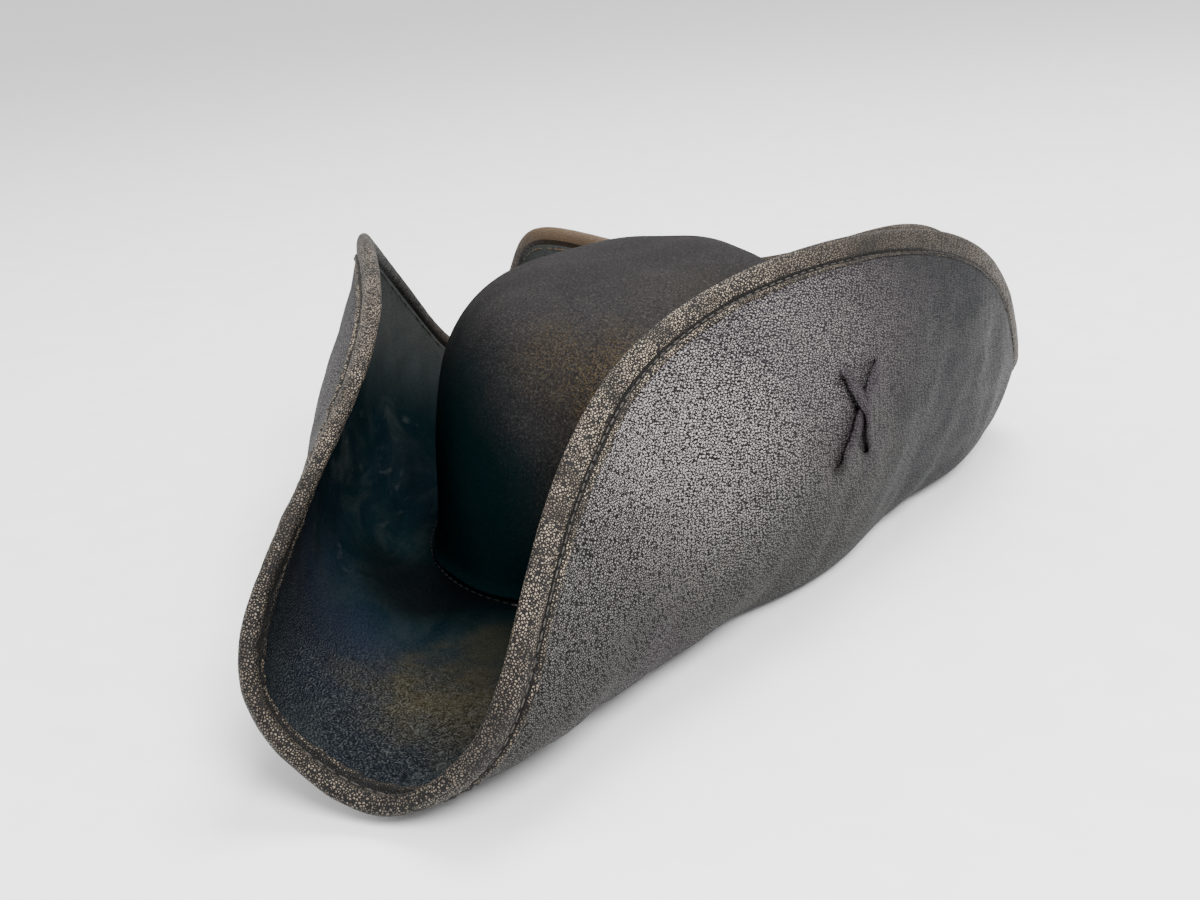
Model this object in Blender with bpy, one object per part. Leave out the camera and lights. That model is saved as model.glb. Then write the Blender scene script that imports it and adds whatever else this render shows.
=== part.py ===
"""Soft tricorn pirate hat: crown, brim turned up in three flaps, hem band and lacing.

Built with the head opening's centre line at x = y = 0 and the middle of the brim sheet at z = 0,
then moved so that the origin is the middle of the base. Front is -Y, up is +Z.
"""
import math

import bpy
import numpy as np

# ---- head opening and crown (m) ----
HEAD_X = 0.0875            # half width of the crown at its foot
HEAD_Y = 0.1025            # half length of the crown at its foot
CROWN_HEIGHT = 0.117
CROWN_WALL_POWER = 3.66    # squareness of the shoulder, sideways
CROWN_TOP_POWER = 4.2      # squareness of the shoulder, upwards
CROWN_TAPER = 0.11         # how much narrower the crown is at the top

# ---- sheet thicknesses and gaps (m) ----
GAP = 0.0003
COVER = 0.0012             # leather-look cloth
BRIM_CORE = 0.0011
STIFFENER = 0.0012
LINING = 0.0006
BRIM_HALF = BRIM_CORE / 2 + GAP + COVER
OPENING_INSET = 0.0032     # brim reaches this far in under the crown wall
FLAT_RING = 0.010          # flat part of the brim outside the crown's foot

# ---- rim of the brim, right half from the front tip to the middle of the back (m) ----
# place along the rim (0 front, 1 back), then x, y, z
RIM = [
    (0.000, 0.000, -0.250, 0.0075),   # front tip
    (0.055, 0.026, -0.249, 0.021),
    (0.140, 0.044, -0.233, 0.058),
    (0.250, 0.048, -0.133, 0.114),    # side flap, front half
    (0.380, 0.121, 0.004, 0.126),     # side flap, highest
    (0.520, 0.148, 0.095, 0.070),
    (0.660, 0.140, 0.144, 0.038),     # rear corner, lowest
    (0.750, 0.123, 0.160, 0.072),
    (0.870, 0.087, 0.147, 0.096),     # back flap, highest
    (1.000, 0.000, 0.164, 0.075),     # middle of the back
]
# at the same places: how long the brim stays flat, how long the rim end stays straight (m),
# how far the rim leans up (deg, 90 is upright), and where its section leaves the head (deg)
FLAT_REACH = [0.053, 0.047, 0.038, 0.014, 0.006, 0.016, 0.032, 0.030, 0.027, 0.029]
RIM_REACH = [0.026, 0.020, 0.062, 0.094, 0.077, 0.072, 0.053, 0.045, 0.049, 0.062]
RIM_LEAN = [26, 60, 108, 150, 103, 86, 71, 72, 79, 89]
HEAD_ANGLE = [-90, -84, -66, -48, -6, 10, 28, 59, 66, 90]

# ---- hem band, wire and threads (m) ----
HEM_WIDTH = 0.012          # whole band, with its raw lip
HEM_ROLL = 0.0034          # where the band starts to turn round the rim
HEM_INSIDE = 0.0029
SHEET_STOP = 0.0055        # sheets end this far short of the rim
WIRE_FROM_RIM = 0.0042
WIRE_RADIUS = 0.0007
STITCH_FROM_RIM = 0.0095
THREAD_RADIUS = 0.0003

# ---- sweatband and lacing (m) ----
SWEATBAND_HEIGHT = 0.032
LACE_WIDTH = 0.0075
LACE_THICKNESS = 0.0010
LACE_LIFT = 0.0006         # clear of the cloth below
LACE_BRIDGE = 0.0028       # extra height where one strip crosses the other
# each strip from one end to the other: place along the rim, distance in from the rim
SIDE_LACE_OVER = ((0.321, 0.049), (0.333, 0.082))
SIDE_LACE_UNDER = ((0.344, 0.047), (0.307, 0.081))
BACK_LACE_OVER = ((0.985, 0.036), (1.015, 0.068))
BACK_LACE_UNDER = ((1.015, 0.036), (0.985, 0.068))

FINE = 240                 # samples round the brim for the smooth curves
BRIM_SEGMENTS = 68
CROWN_SEGMENTS = 40
LACE_SEGMENTS = 10
SHARP_ANGLE = math.radians(40)


def clear_scene():
    for thing in list(bpy.data.objects):
        bpy.data.objects.remove(thing, do_unlink=True)


def material(name, colour, roughness, metallic=0.0):
    mat = bpy.data.materials.new(name)
    mat.use_nodes = True
    shader = mat.node_tree.nodes["Principled BSDF"]
    shader.inputs["Base Color"].default_value = (*colour, 1.0)
    shader.inputs["Roughness"].default_value = roughness
    shader.inputs["Metallic"].default_value = metallic
    mat.diffuse_color = (*colour, 1.0)
    return mat


def add_node(name, points, faces, mat):
    mesh = bpy.data.meshes.new(name)
    mesh.from_pydata([tuple(p) for p in points], [], faces)
    mesh.materials.append(mat)
    mesh.shade_smooth()
    mesh.set_sharp_from_angle(angle=SHARP_ANGLE)
    node = bpy.data.objects.new(name, mesh)
    bpy.context.scene.collection.objects.link(node)
    return node


def add_tube(name, loops, mat, toward_rim=None):
    """Closed ring: loops[i, j] is point j of the section at place i.

    toward_rim[j] tells whether the section runs towards the rim after point j. It fixes the
    diagonal of each quad, so that sheets lying on each other are creased the same way.
    """
    rings, sides = loops.shape[:2]
    faces = []
    for i in range(rings):
        for j in range(sides):
            a, b = i * sides + j, i * sides + (j + 1) % sides
            c, d = ((i + 1) % rings) * sides + (j + 1) % sides, ((i + 1) % rings) * sides + j
            if toward_rim is None:
                faces.append((a, b, c, d))
            elif toward_rim[j]:
                faces += [(a, b, c), (a, c, d)]
            else:
                faces += [(a, b, d), (b, c, d)]
    return add_node(name, loops.reshape(-1, 3), faces, mat)


# ---- smooth curves round the brim ----
PLACES = np.arange(FINE) * 2.0 / FINE
KNOTS = np.array([row[0] for row in RIM])
ALL_KNOTS = np.concatenate([KNOTS, 2.0 - KNOTS[-2:0:-1]])


def soften(values, width):
    """Blur samples taken round the whole brim."""
    wave = np.fft.rfftfreq(FINE, 2.0 / FINE)
    keep = np.exp(-2.0 * (np.pi * wave * width) ** 2)
    keep = keep.reshape((-1,) + (1,) * (values.ndim - 1))
    return np.fft.irfft(np.fft.rfft(values, axis=0) * keep, FINE, axis=0)


def profile(values):
    """A quantity given along one half, mirrored to the other."""
    both = np.concatenate([values, values[-2:0:-1]])
    line = np.interp(PLACES, np.append(ALL_KNOTS, 2.0), np.append(both, both[0]))
    return soften(line, 0.02)


def closed_spline(knots, points, places):
    """Cubic spline through the points, closed with period 2."""
    count = len(knots)
    step = np.diff(np.append(knots, knots[0] + 2.0))
    rise = (np.roll(points, -1, 0) - points) / step[:, None]
    system = np.zeros((count, count))
    for i in range(count):
        system[i, i - 1] += step[i - 1]
        system[i, i] += 2.0 * (step[i - 1] + step[i])
        system[i, (i + 1) % count] += step[i]
    bend = np.linalg.solve(system, 6.0 * (rise - np.roll(rise, 1, 0)))
    i = np.searchsorted(knots, places, side="right") - 1
    h, a = step[i, None], (places - knots[i])[:, None]
    b = h - a
    nxt = (i + 1) % count
    return (bend[i] * b ** 3 + bend[nxt] * a ** 3) / (6 * h) \
        + (points[i] / h - bend[i] * h / 6) * b + (points[nxt] / h - bend[nxt] * h / 6) * a


def unit(vectors):
    return vectors / np.maximum(np.linalg.norm(vectors, axis=-1, keepdims=True), 1e-12)


def rim_curve():
    half = np.array([row[1:] for row in RIM])
    whole = np.concatenate([half, half[-2:0:-1] * [-1, 1, 1]])
    return closed_spline(ALL_KNOTS, whole, PLACES)


def rim_directions(rim):
    """Direction in which the sheet reaches the rim."""
    along = unit(np.roll(rim, -1, 0) - np.roll(rim, 1, 0))
    plan = unit(along * [1, 1, 0])
    outward = np.stack([plan[:, 1], -plan[:, 0], 0 * plan[:, 0]], 1)
    upward = np.cross(outward, along)
    lean = profile(np.radians(RIM_LEAN))[:, None]
    return np.cos(lean) * outward + np.sin(lean) * upward


def head_points():
    """Points on the crown's foot with the outward direction there."""
    half = np.array(HEAD_ANGLE, float)
    both = np.concatenate([half, 180.0 - half[-2:0:-1]])
    extra = both - (180.0 * ALL_KNOTS - 90.0)
    extra = np.interp(PLACES, np.append(ALL_KNOTS, 2.0), np.append(extra, extra[0]))
    angle = np.radians(180.0 * PLACES - 90.0 + soften(extra, 0.03))
    foot = np.stack([HEAD_X * np.cos(angle), HEAD_Y * np.sin(angle), 0 * angle], 1)
    out = unit(np.stack([np.cos(angle) / HEAD_X, np.sin(angle) / HEAD_Y, 0 * angle], 1))
    return foot, out


def brim_paths():
    """Fine lines from the head opening to the rim, one for each place."""
    rim = rim_curve()
    foot, out = head_points()
    start = foot + FLAT_RING * out
    pull = soften(profile(RIM_REACH)[:, None] * rim_directions(rim), 0.03)
    first = start + profile(FLAT_REACH)[:, None] * out
    last = rim - pull
    s = np.linspace(0, 1, 61)[:, None, None]
    curve = (1 - s) ** 3 * start + 3 * (1 - s) ** 2 * s * first + 3 * (1 - s) * s ** 2 * last + s ** 3 * rim
    curve[..., 2] = np.maximum(curve[..., 2], 0.0)
    return np.concatenate([(foot - OPENING_INSET * out)[None], curve])


def fine_brim():
    """Middle sheet as points[distance row, place], with distance in from the rim and outer normals."""
    paths = brim_paths()
    step = np.linalg.norm(np.diff(paths, axis=0), axis=2)
    inward = np.concatenate([np.cumsum(step[::-1], 0)[::-1], np.zeros((1, FINE))])
    down = np.gradient(paths, axis=0)
    around = np.roll(paths, -1, 1) - np.roll(paths, 1, 1)
    normal = unit(np.cross(around, down))
    normal[:2] = (0, 0, -1)
    return paths, inward, normal


def around_index(places):
    x = np.mod(places, 2.0) * FINE / 2.0
    low = np.floor(x).astype(int) % FINE
    return low, (low + 1) % FINE, (x - np.floor(x))[:, None]


def brim_at(sheet, places, distances, offset):
    """Points at given distances in from the rim, moved out of the middle sheet by offset."""
    paths, inward, normal = sheet
    low, high, part = around_index(places)
    result = []
    for side in (low, high):
        rows = []
        for k, col in enumerate(side):
            run = inward[::-1, col]
            both = np.concatenate([paths[::-1, col], normal[::-1, col]], 1)
            rows.append([np.interp(distances[k], run, both[:, c]) for c in range(6)])
        result.append(np.array(rows))
    mix = result[0] * (1 - part) + result[1] * part
    return mix[:, :3] + offset * unit(mix[:, 3:])


def segment_places(sheet):
    """Places round the rim, closer together where the rim turns."""
    rim = sheet[0][-1]
    along = np.roll(rim, -1, 0) - rim
    turn = np.linalg.norm(np.roll(unit(along), -1, 0) - unit(along), axis=1)
    weight = np.linalg.norm(along, axis=1) + 0.03 * soften(turn, 0.02)
    total = np.concatenate([[0.0], np.cumsum(weight)])
    wanted = np.arange(BRIM_SEGMENTS) * total[-1] / BRIM_SEGMENTS
    return np.interp(wanted, total, np.append(PLACES, 2.0))


def brim_rows(sheet, places):
    """Distances in from the rim for the rows of a brim sheet, head opening first."""
    low, high, part = around_index(places)
    inward = sheet[1][:, low] * (1 - part[:, 0]) + sheet[1][:, high] * part[:, 0]
    edge, ring = inward[0], inward[1]
    rows = [edge, ring]
    for share in (0.92, 0.80, 0.62, 0.42, 0.20):
        rows.append(HEM_WIDTH + share * (ring - HEM_WIDTH))
    rows.append(np.full(len(places), HEM_WIDTH))
    rows.append(np.full(len(places), SHEET_STOP))
    return rows


def brim_layer(name, sheet, places, low, high, mat):
    """One sheet of the brim between two offsets from the middle, outer side positive."""
    rows = brim_rows(sheet, places)
    outer = [brim_at(sheet, places, row, high) for row in rows]
    inner = [brim_at(sheet, places, row, low) for row in rows]
    loops = np.stack(outer + inner[::-1], 1)
    toward_rim = [True] * len(rows) + [False] * len(rows)
    return add_tube(name, loops, mat, toward_rim)


def rim_section(sheet, places, section):
    """Section given as (distance in from the rim, offset) swept round the rim."""
    loops = [brim_at(sheet, places, np.full(len(places), d), o) for d, o in section]
    return np.stack(loops, 1)


def round_section(distance, offset, radius, sides):
    angle = np.arange(sides) * 2 * np.pi / sides
    return [(distance - radius * np.cos(a), offset + radius * np.sin(a)) for a in angle]


def hem_section():
    skin, out = BRIM_HALF + GAP, BRIM_HALF + GAP + 0.0009
    return [(HEM_WIDTH, out), (SHEET_STOP, out + 0.0002), (HEM_ROLL / 2, out - 0.0005), (0.0, 0.0),
            (HEM_ROLL / 2, 0.0005 - out), (SHEET_STOP, -out - 0.0002), (HEM_WIDTH, -out),
            (HEM_WIDTH, -skin), (SHEET_STOP, -skin), (HEM_INSIDE, -skin),
            (HEM_INSIDE, skin), (SHEET_STOP, skin), (HEM_WIDTH, skin)]


def build_brim(sheet, places, cloth):
    core = material("brim_core", (0.30, 0.29, 0.27), 0.9)
    brim_layer("brim_underside", sheet, places, BRIM_HALF - COVER, BRIM_HALF, cloth["outer"])
    brim_layer("brim_core", sheet, places, -BRIM_CORE / 2, BRIM_CORE / 2, core)
    brim_layer("brim_upper", sheet, places, -BRIM_HALF, COVER - BRIM_HALF, cloth["inner"])


def build_hem(sheet, places, thread):
    band = material("hem_binding", (0.25, 0.21, 0.17), 0.62)
    wire = material("brim_edge_wire", (0.55, 0.55, 0.56), 0.35, 1.0)
    section = hem_section()
    toward_rim = [near[0] <= far[0] for far, near in zip(section, section[1:] + section[:1])]
    add_tube("hem_binding", rim_section(sheet, places, section), band, toward_rim)
    ring = round_section(WIRE_FROM_RIM, 0.0, WIRE_RADIUS, 5)
    add_tube("brim_edge_wire", rim_section(sheet, places, ring), wire)
    clear = BRIM_HALF + GAP + 0.0013 + GAP + THREAD_RADIUS
    for name, side in (("hem_stitch_outer", clear), ("hem_stitch_inner", -clear)):
        ring = round_section(STITCH_FROM_RIM, side, THREAD_RADIUS, 4)
        add_tube(name, rim_section(sheet, places, ring), thread)


# ---- crown ----
def crown_point(inset, angle, climb):
    """Point of the crown's surface moved in by inset; climb is 0 at the foot and 1 at the top."""
    rise = np.sin(climb * np.pi / 2) ** (2 / CROWN_TOP_POWER)
    wide = np.cos(climb * np.pi / 2) ** (2 / CROWN_WALL_POWER)
    wide = wide * (1 - CROWN_TAPER * rise)
    return np.stack([(HEAD_X - inset) * wide * np.cos(angle),
                     (HEAD_Y - inset) * wide * np.sin(angle),
                     (CROWN_HEIGHT - inset) * rise + 0 * angle], -1)


def crown_climbs(foot_z, inset):
    """Row positions, even along the wall's curve, from a given height to just short of the top."""
    climb = np.linspace(0, 1, 400)
    line = crown_point(inset, np.zeros(400), climb)
    z = line[:, 2]
    start = np.interp(foot_z, z, climb)
    run = np.concatenate([[0], np.cumsum(np.linalg.norm(np.diff(line, axis=0), axis=1))])
    first, last = np.interp(start, climb, run), run[-1]
    share = np.array([0, 0.28, 0.46, 0.56, 0.62, 0.68, 0.75, 0.86, 0.95])
    return np.interp(first + share * (last - first), run, climb)


def dome(name, outer_inset, inner_inset, foot_z, segments, mat):
    """Closed shell in the crown's shape, open at the bottom."""
    angle = np.arange(segments) * 2 * np.pi / segments
    rows = [crown_point(outer_inset, angle, c) for c in crown_climbs(foot_z, outer_inset)]
    inside = [crown_point(inner_inset, angle, c) for c in crown_climbs(foot_z, inner_inset)]
    rows[0][:, 2] = inside[0][:, 2] = foot_z
    count = len(rows)
    rings = rows[::-1] + inside
    points = list(np.concatenate(rings))
    faces = []
    for i in range(len(rings) - 1):
        for j in range(segments):
            k = (j + 1) % segments
            a, b = i * segments + j, i * segments + k
            faces.append((a, a + segments, b + segments, b))
    points.append((0, 0, CROWN_HEIGHT - outer_inset))
    points.append((0, 0, CROWN_HEIGHT - inner_inset))
    top, under, last = len(points) - 2, len(points) - 1, (2 * count - 1) * segments
    for j in range(segments):
        k = (j + 1) % segments
        faces.append((top, j, k))
        faces.append((under, last + k, last + j))
    return add_node(name, points, faces, mat)


def crown_ring(name, section, mat):
    """Ring round the head opening; section is a list of (inset, z)."""
    angle = np.arange(CROWN_SEGMENTS) * 2 * np.pi / CROWN_SEGMENTS
    loops = []
    for inset, z in section:
        taper = 1 - CROWN_TAPER * max(z, 0.0) / CROWN_HEIGHT
        x = (HEAD_X * taper - inset) * np.cos(angle)
        y = (HEAD_Y * taper - inset) * np.sin(angle)
        loops.append(np.stack([x, y, z + 0 * angle], 1))
    return add_tube(name, np.stack(loops, 1), mat)


def build_crown(cloth, thread):
    foot = BRIM_HALF + GAP
    cover_in = COVER
    stiff_out, stiff_in = cover_in + GAP, cover_in + GAP + STIFFENER
    line_out, line_in = stiff_in + GAP, stiff_in + GAP + LINING
    stiff = material("crown_stiffener", (0.32, 0.31, 0.29), 0.9)
    lining = material("crown_lining", (0.02, 0.02, 0.022), 0.7)
    leather = material("sweatband", (0.035, 0.03, 0.028), 0.5)
    dome("crown_cover", 0.0, cover_in, foot, CROWN_SEGMENTS, cloth["crown"])
    dome("crown_stiffener", stiff_out, stiff_in, foot, CROWN_SEGMENTS, stiff)
    dome("crown_lining", line_out, line_in, foot, CROWN_SEGMENTS, lining)
    band_out, band_in = line_in + 0.0010, line_in + 0.0010 + COVER
    low = GAP - BRIM_HALF + 0.0003
    band = [(band_out, low), (band_out, SWEATBAND_HEIGHT), (band_in, SWEATBAND_HEIGHT), (band_in, low)]
    crown_ring("sweatband", band, leather)
    clear = band_in + GAP + THREAD_RADIUS
    crown_ring("sweatband_stitch", round_section(clear, 0.002, THREAD_RADIUS, 4), thread)
    beside = -(GAP + THREAD_RADIUS)
    crown_ring("crown_seam_stitch", round_section(beside, foot + THREAD_RADIUS, THREAD_RADIUS, 4), thread)


# ---- lacing ----
def lace_strip(name, sheet, ends, bridge, mat):
    """Flat strip laid on the outer face between two places, raised in the middle by bridge."""
    (p0, d0), (p1, d1) = ends
    share = np.linspace(0, 1, LACE_SEGMENTS + 1)
    place, dist = p0 + share * (p1 - p0), d0 + share * (d1 - d0)
    middle = brim_at(sheet, place, dist, 0.0)
    beside = brim_at(sheet, place + 0.01, dist, 0.0)
    stretch = np.linalg.norm(beside - middle, axis=1).mean() / 0.01
    run = np.array([(p1 - p0) * stretch, d1 - d0])
    across = np.array([-run[1], run[0]]) / np.linalg.norm(run) * LACE_WIDTH / 2
    low = BRIM_HALF + LACE_LIFT + bridge * np.sin(np.pi * share) ** 2
    loops = []
    for side, lift in ((-1, 0), (1, 0), (1, LACE_THICKNESS), (-1, LACE_THICKNESS)):
        shifted = place + side * across[0] / stretch
        row = dist + side * across[1]
        inner = brim_at(sheet, shifted, row, 0.0)
        outer = brim_at(sheet, shifted, row, 1.0)
        loops.append(inner + (outer - inner) * (low + lift)[:, None])
    points = np.stack(loops, 1).reshape(-1, 3)
    faces = []
    for i in range(LACE_SEGMENTS):
        for j in range(4):
            k = (j + 1) % 4
            faces.append((4 * i + j, 4 * i + k, 4 * i + 4 + k, 4 * i + 4 + j))
    faces.append((3, 2, 1, 0))
    end = 4 * LACE_SEGMENTS
    faces.append((end, end + 1, end + 2, end + 3))
    return add_node(name, points, faces, mat)


def mirrored(ends):
    return tuple((2.0 - place, dist) for place, dist in ends)


def build_lacing(sheet):
    mat = material("lacing", (0.16, 0.16, 0.155), 0.75)
    pairs = (("lace_left", SIDE_LACE_OVER, SIDE_LACE_UNDER),
             ("lace_right", mirrored(SIDE_LACE_OVER), mirrored(SIDE_LACE_UNDER)),
             ("lace_back", BACK_LACE_OVER, BACK_LACE_UNDER))
    for name, over, under in pairs:
        lace_strip(name + "_over", sheet, over, LACE_BRIDGE, mat)
        lace_strip(name + "_under", sheet, under, 0.0, mat)


def face_outward(node):
    """Turn the faces round if the body is inside out."""
    mesh = node.data
    mesh.calc_loop_triangles()
    points = np.array([v.co for v in mesh.vertices])
    tris = np.array([t.vertices for t in mesh.loop_triangles])
    a, b, c = points[tris[:, 0]], points[tris[:, 1]], points[tris[:, 2]]
    if np.einsum("ij,ij->i", a, np.cross(b, c)).sum() < 0:
        mesh.flip_normals()


def move_to_base_centre():
    nodes = [n for n in bpy.context.scene.objects if n.type == "MESH"]
    points = np.concatenate([[v.co for v in n.data.vertices] for n in nodes])
    low, high = points.min(0), points.max(0)
    shift = np.array([(low[0] + high[0]) / 2, (low[1] + high[1]) / 2, low[2]])
    for node in nodes:
        for v in node.data.vertices:
            v.co = np.array(v.co) - shift
        face_outward(node)


def main():
    clear_scene()
    cloth = {"outer": material("brim_underside", (0.17, 0.165, 0.165), 0.72),
             "inner": material("brim_upper", (0.05, 0.058, 0.065), 0.85),
             "crown": material("crown_cover", (0.08, 0.08, 0.08), 0.85)}
    thread = material("thread", (0.10, 0.09, 0.08), 0.8)
    sheet = fine_brim()
    places = segment_places(sheet)
    build_brim(sheet, places, cloth)
    build_hem(sheet, places, thread)
    build_crown(cloth, thread)
    build_lacing(sheet)
    move_to_base_centre()


main()
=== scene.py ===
"""Looks of the soft tricorn pirate hat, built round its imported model."""
import math

import bpy
import numpy as np
from mathutils import Matrix, Vector


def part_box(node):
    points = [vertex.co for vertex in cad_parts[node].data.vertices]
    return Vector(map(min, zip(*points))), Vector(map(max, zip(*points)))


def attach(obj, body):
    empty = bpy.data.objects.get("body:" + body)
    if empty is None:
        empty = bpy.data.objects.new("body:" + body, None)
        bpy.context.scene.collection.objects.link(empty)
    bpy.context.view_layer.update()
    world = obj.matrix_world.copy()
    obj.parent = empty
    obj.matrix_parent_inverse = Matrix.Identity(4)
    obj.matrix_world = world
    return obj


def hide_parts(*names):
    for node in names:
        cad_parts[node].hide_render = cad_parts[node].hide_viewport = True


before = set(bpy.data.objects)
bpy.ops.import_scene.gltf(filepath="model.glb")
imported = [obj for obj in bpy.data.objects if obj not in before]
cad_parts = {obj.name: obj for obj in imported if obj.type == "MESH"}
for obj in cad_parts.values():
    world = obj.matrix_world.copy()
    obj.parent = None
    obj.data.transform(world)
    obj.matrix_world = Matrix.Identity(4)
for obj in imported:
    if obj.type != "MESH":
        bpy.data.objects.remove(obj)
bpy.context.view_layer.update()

# ---- the hat's own measures, as in its model (m, deg) ----
HEAD_X, HEAD_Y = 0.0875, 0.1025
CROWN_HEIGHT = 0.117
CROWN_WALL_POWER, CROWN_TOP_POWER = 3.66, 4.2
CROWN_TAPER = 0.11
BRIM_HALF = 0.00205
COVER = 0.0012
OPENING_INSET = 0.0032
FLAT_RING = 0.010
# place along the rim (0 front, 1 back), then x, y, z
RIM = [
    (0.000, 0.000, -0.250, 0.0075),
    (0.055, 0.026, -0.249, 0.021),
    (0.140, 0.044, -0.233, 0.058),
    (0.250, 0.048, -0.133, 0.114),
    (0.380, 0.121, 0.004, 0.126),
    (0.520, 0.148, 0.095, 0.070),
    (0.660, 0.140, 0.144, 0.038),
    (0.750, 0.123, 0.160, 0.072),
    (0.870, 0.087, 0.147, 0.096),
    (1.000, 0.000, 0.164, 0.075),
]
FLAT_REACH = [0.053, 0.047, 0.038, 0.014, 0.006, 0.016, 0.032, 0.030, 0.027, 0.029]
RIM_REACH = [0.026, 0.020, 0.062, 0.094, 0.077, 0.072, 0.053, 0.045, 0.049, 0.062]
RIM_LEAN = [26, 60, 108, 150, 103, 86, 71, 72, 79, 89]
HEAD_ANGLE = [-90, -84, -66, -48, -6, 10, 28, 59, 66, 90]
HEM_WIDTH = 0.012
STITCH_FROM_RIM = 0.0093
STITCH_PITCH = 0.0042
LIP_LIES_FLAT = (0.27, 0.42)      # places between which the band's raw lip goes from standing to flat
LACES = {
    "lace_left_over": ((0.321, 0.049), (0.333, 0.082)),
    "lace_left_under": ((0.344, 0.047), (0.307, 0.081)),
    "lace_right_over": ((1.679, 0.049), (1.667, 0.082)),
    "lace_right_under": ((1.656, 0.047), (1.693, 0.081)),
    "lace_back_over": ((0.985, 0.036), (1.015, 0.068)),
    "lace_back_under": ((1.015, 0.036), (0.985, 0.068)),
}

FINE = 1440                # samples round the brim
CROWN_COLUMNS = 360
PLACES = np.arange(FINE) * 2.0 / FINE
KNOTS = np.array([row[0] for row in RIM])
ALL_KNOTS = np.concatenate([KNOTS, 2.0 - KNOTS[-2:0:-1]])

crown_low, crown_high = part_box("crown_cover")
ORIGIN = np.array([0.0, (crown_low[1] + crown_high[1]) / 2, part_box("brim_underside")[0][2] + BRIM_HALF])


# ---------------------------------------------------------------- small maths
def unit(vectors):
    return vectors / np.maximum(np.linalg.norm(vectors, axis=-1, keepdims=True), 1e-12)


def smooth_step(low, high, value):
    x = np.clip((value - low) / (high - low), 0.0, 1.0)
    return x * x * (3.0 - 2.0 * x)


def lumps(points, size, seed, count=9):
    """Smooth wandering value about -1..1 with features of about the given size."""
    rng = np.random.default_rng(seed)
    total = np.zeros(points.shape[:-1])
    for _ in range(count):
        way = unit(rng.normal(size=3)) * 2 * math.pi / (size * rng.uniform(0.7, 1.5))
        total += np.sin(points @ way + rng.uniform(0, 2 * math.pi))
    return total / math.sqrt(count)


def run_length(line):
    """Distance from a line's first point to each of its points."""
    return np.concatenate([[0], np.cumsum(np.linalg.norm(np.diff(line, axis=0), axis=1))])


def soften(values, width):
    """Blur values round the closed brim, width in places."""
    wave = np.fft.rfftfreq(FINE, 2.0 / FINE)
    keep = np.exp(-2.0 * (np.pi * wave * width) ** 2).reshape((-1,) + (1,) * (values.ndim - 1))
    return np.fft.irfft(np.fft.rfft(values, axis=0) * keep, FINE, axis=0)


def profile(values):
    """One value per rim knot of one half, spread smoothly round the whole brim."""
    both = np.concatenate([values, values[-2:0:-1]])
    return soften(np.interp(PLACES, np.append(ALL_KNOTS, 2.0), np.append(both, both[0])), 0.02)


def closed_spline(knots, points, places):
    """Cubic spline through the points, closed with period 2."""
    count = len(knots)
    step = np.diff(np.append(knots, knots[0] + 2.0))
    rise = (np.roll(points, -1, 0) - points) / step[:, None]
    system = np.zeros((count, count))
    for i in range(count):
        system[i, i - 1] += step[i - 1]
        system[i, i] += 2.0 * (step[i - 1] + step[i])
        system[i, (i + 1) % count] += step[i]
    bend = np.linalg.solve(system, 6.0 * (rise - np.roll(rise, 1, 0)))
    i = np.searchsorted(knots, places, side="right") - 1
    h, a = step[i, None], (places - knots[i])[:, None]
    b = h - a
    nxt = (i + 1) % count
    return (bend[i] * b ** 3 + bend[nxt] * a ** 3) / (6 * h) \
        + (points[i] / h - bend[i] * h / 6) * b + (points[nxt] / h - bend[nxt] * h / 6) * a


# ---------------------------------------------------------------- brim surface
def rim_directions(rim):
    """Which way the sheet runs as it reaches the rim."""
    along = unit(np.roll(rim, -1, 0) - np.roll(rim, 1, 0))
    plan = unit(along * [1, 1, 0])
    outward = np.stack([plan[:, 1], -plan[:, 0], 0 * plan[:, 0]], 1)
    lean = profile(np.radians(RIM_LEAN))[:, None]
    return np.cos(lean) * outward + np.sin(lean) * np.cross(outward, along)


def fine_brim():
    """Middle of the brim: points, distance in from the rim and outward normals, [row, place]."""
    half = np.array([row[1:] for row in RIM])
    rim = closed_spline(ALL_KNOTS, np.concatenate([half, half[-2:0:-1] * [-1, 1, 1]]), PLACES)
    angle = np.array(HEAD_ANGLE, float)
    extra = np.concatenate([angle, 180.0 - angle[-2:0:-1]]) - (180.0 * ALL_KNOTS - 90.0)
    extra = np.interp(PLACES, np.append(ALL_KNOTS, 2.0), np.append(extra, extra[0]))
    angle = np.radians(180.0 * PLACES - 90.0 + soften(extra, 0.03))
    foot = np.stack([HEAD_X * np.cos(angle), HEAD_Y * np.sin(angle), 0 * angle], 1)
    out = unit(np.stack([np.cos(angle) / HEAD_X, np.sin(angle) / HEAD_Y, 0 * angle], 1))
    start = foot + FLAT_RING * out
    first = start + profile(FLAT_REACH)[:, None] * out
    last = rim - soften(profile(RIM_REACH)[:, None] * rim_directions(rim), 0.03)
    s = np.linspace(0, 1, 61)[:, None, None]
    curve = (1 - s) ** 3 * start + 3 * (1 - s) ** 2 * s * first + 3 * (1 - s) * s ** 2 * last + s ** 3 * rim
    curve[..., 2] = np.maximum(curve[..., 2], 0.0)
    paths = np.concatenate([(foot - OPENING_INSET * out)[None], curve])
    step = np.linalg.norm(np.diff(paths, axis=0), axis=2)
    inward = np.concatenate([np.cumsum(step[::-1], 0)[::-1], np.zeros((1, FINE))])
    normal = unit(np.cross(np.roll(paths, -1, 1) - np.roll(paths, 1, 1), np.gradient(paths, axis=0)))
    normal[:2] = (0, 0, -1)
    return paths + ORIGIN, inward, normal


PATHS, INWARD, NORMAL = fine_brim()
BOTH = np.concatenate([PATHS, NORMAL], 2)


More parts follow.
